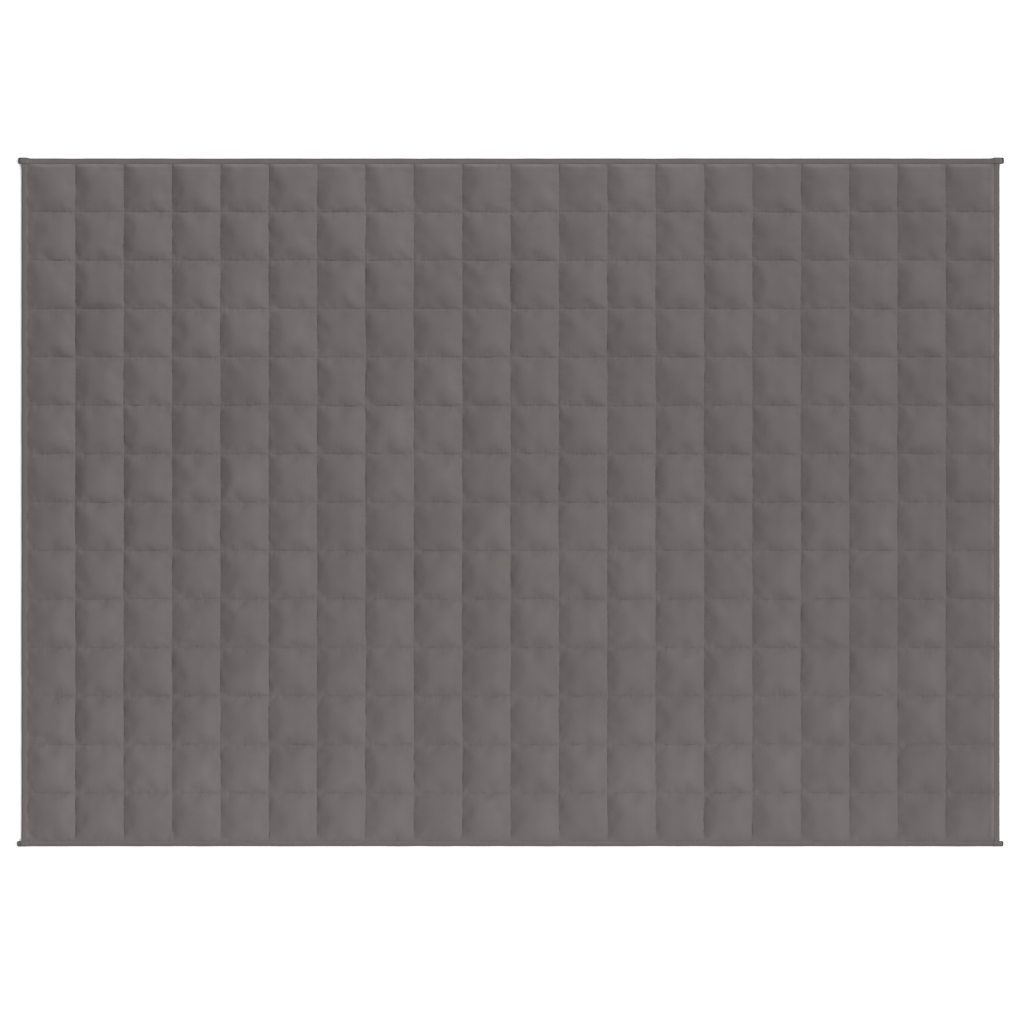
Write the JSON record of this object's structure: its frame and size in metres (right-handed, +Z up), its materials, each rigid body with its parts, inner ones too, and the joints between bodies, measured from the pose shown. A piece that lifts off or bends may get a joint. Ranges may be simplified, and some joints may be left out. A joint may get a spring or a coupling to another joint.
{
  "type": "quilted weighted blanket",
  "caption": "Weighted blanket lying flat, quilted in small filled squares, with a narrow tape folded over each edge and its ends standing out at the corners.",
  "frame": {"origin": "on the surface that the blanket lies on, under the middle of its length and width", "axes": "+X along the length, +Y along the width from the near edge to the far one, +Z up from the back to the face"},
  "size_m": [2.017, 1.4092, 0.014],
  "materials": {
    "cloth": "brushed grey-taupe microfibre",
    "tape": "fine woven grey tape"
  },
  "bodies": {
    "root": {"quilted_body": "cloth", "binding_left": "tape", "binding_right": "tape", "binding_top": "tape", "binding_bottom": "tape"}
  },
  "joints": []
}
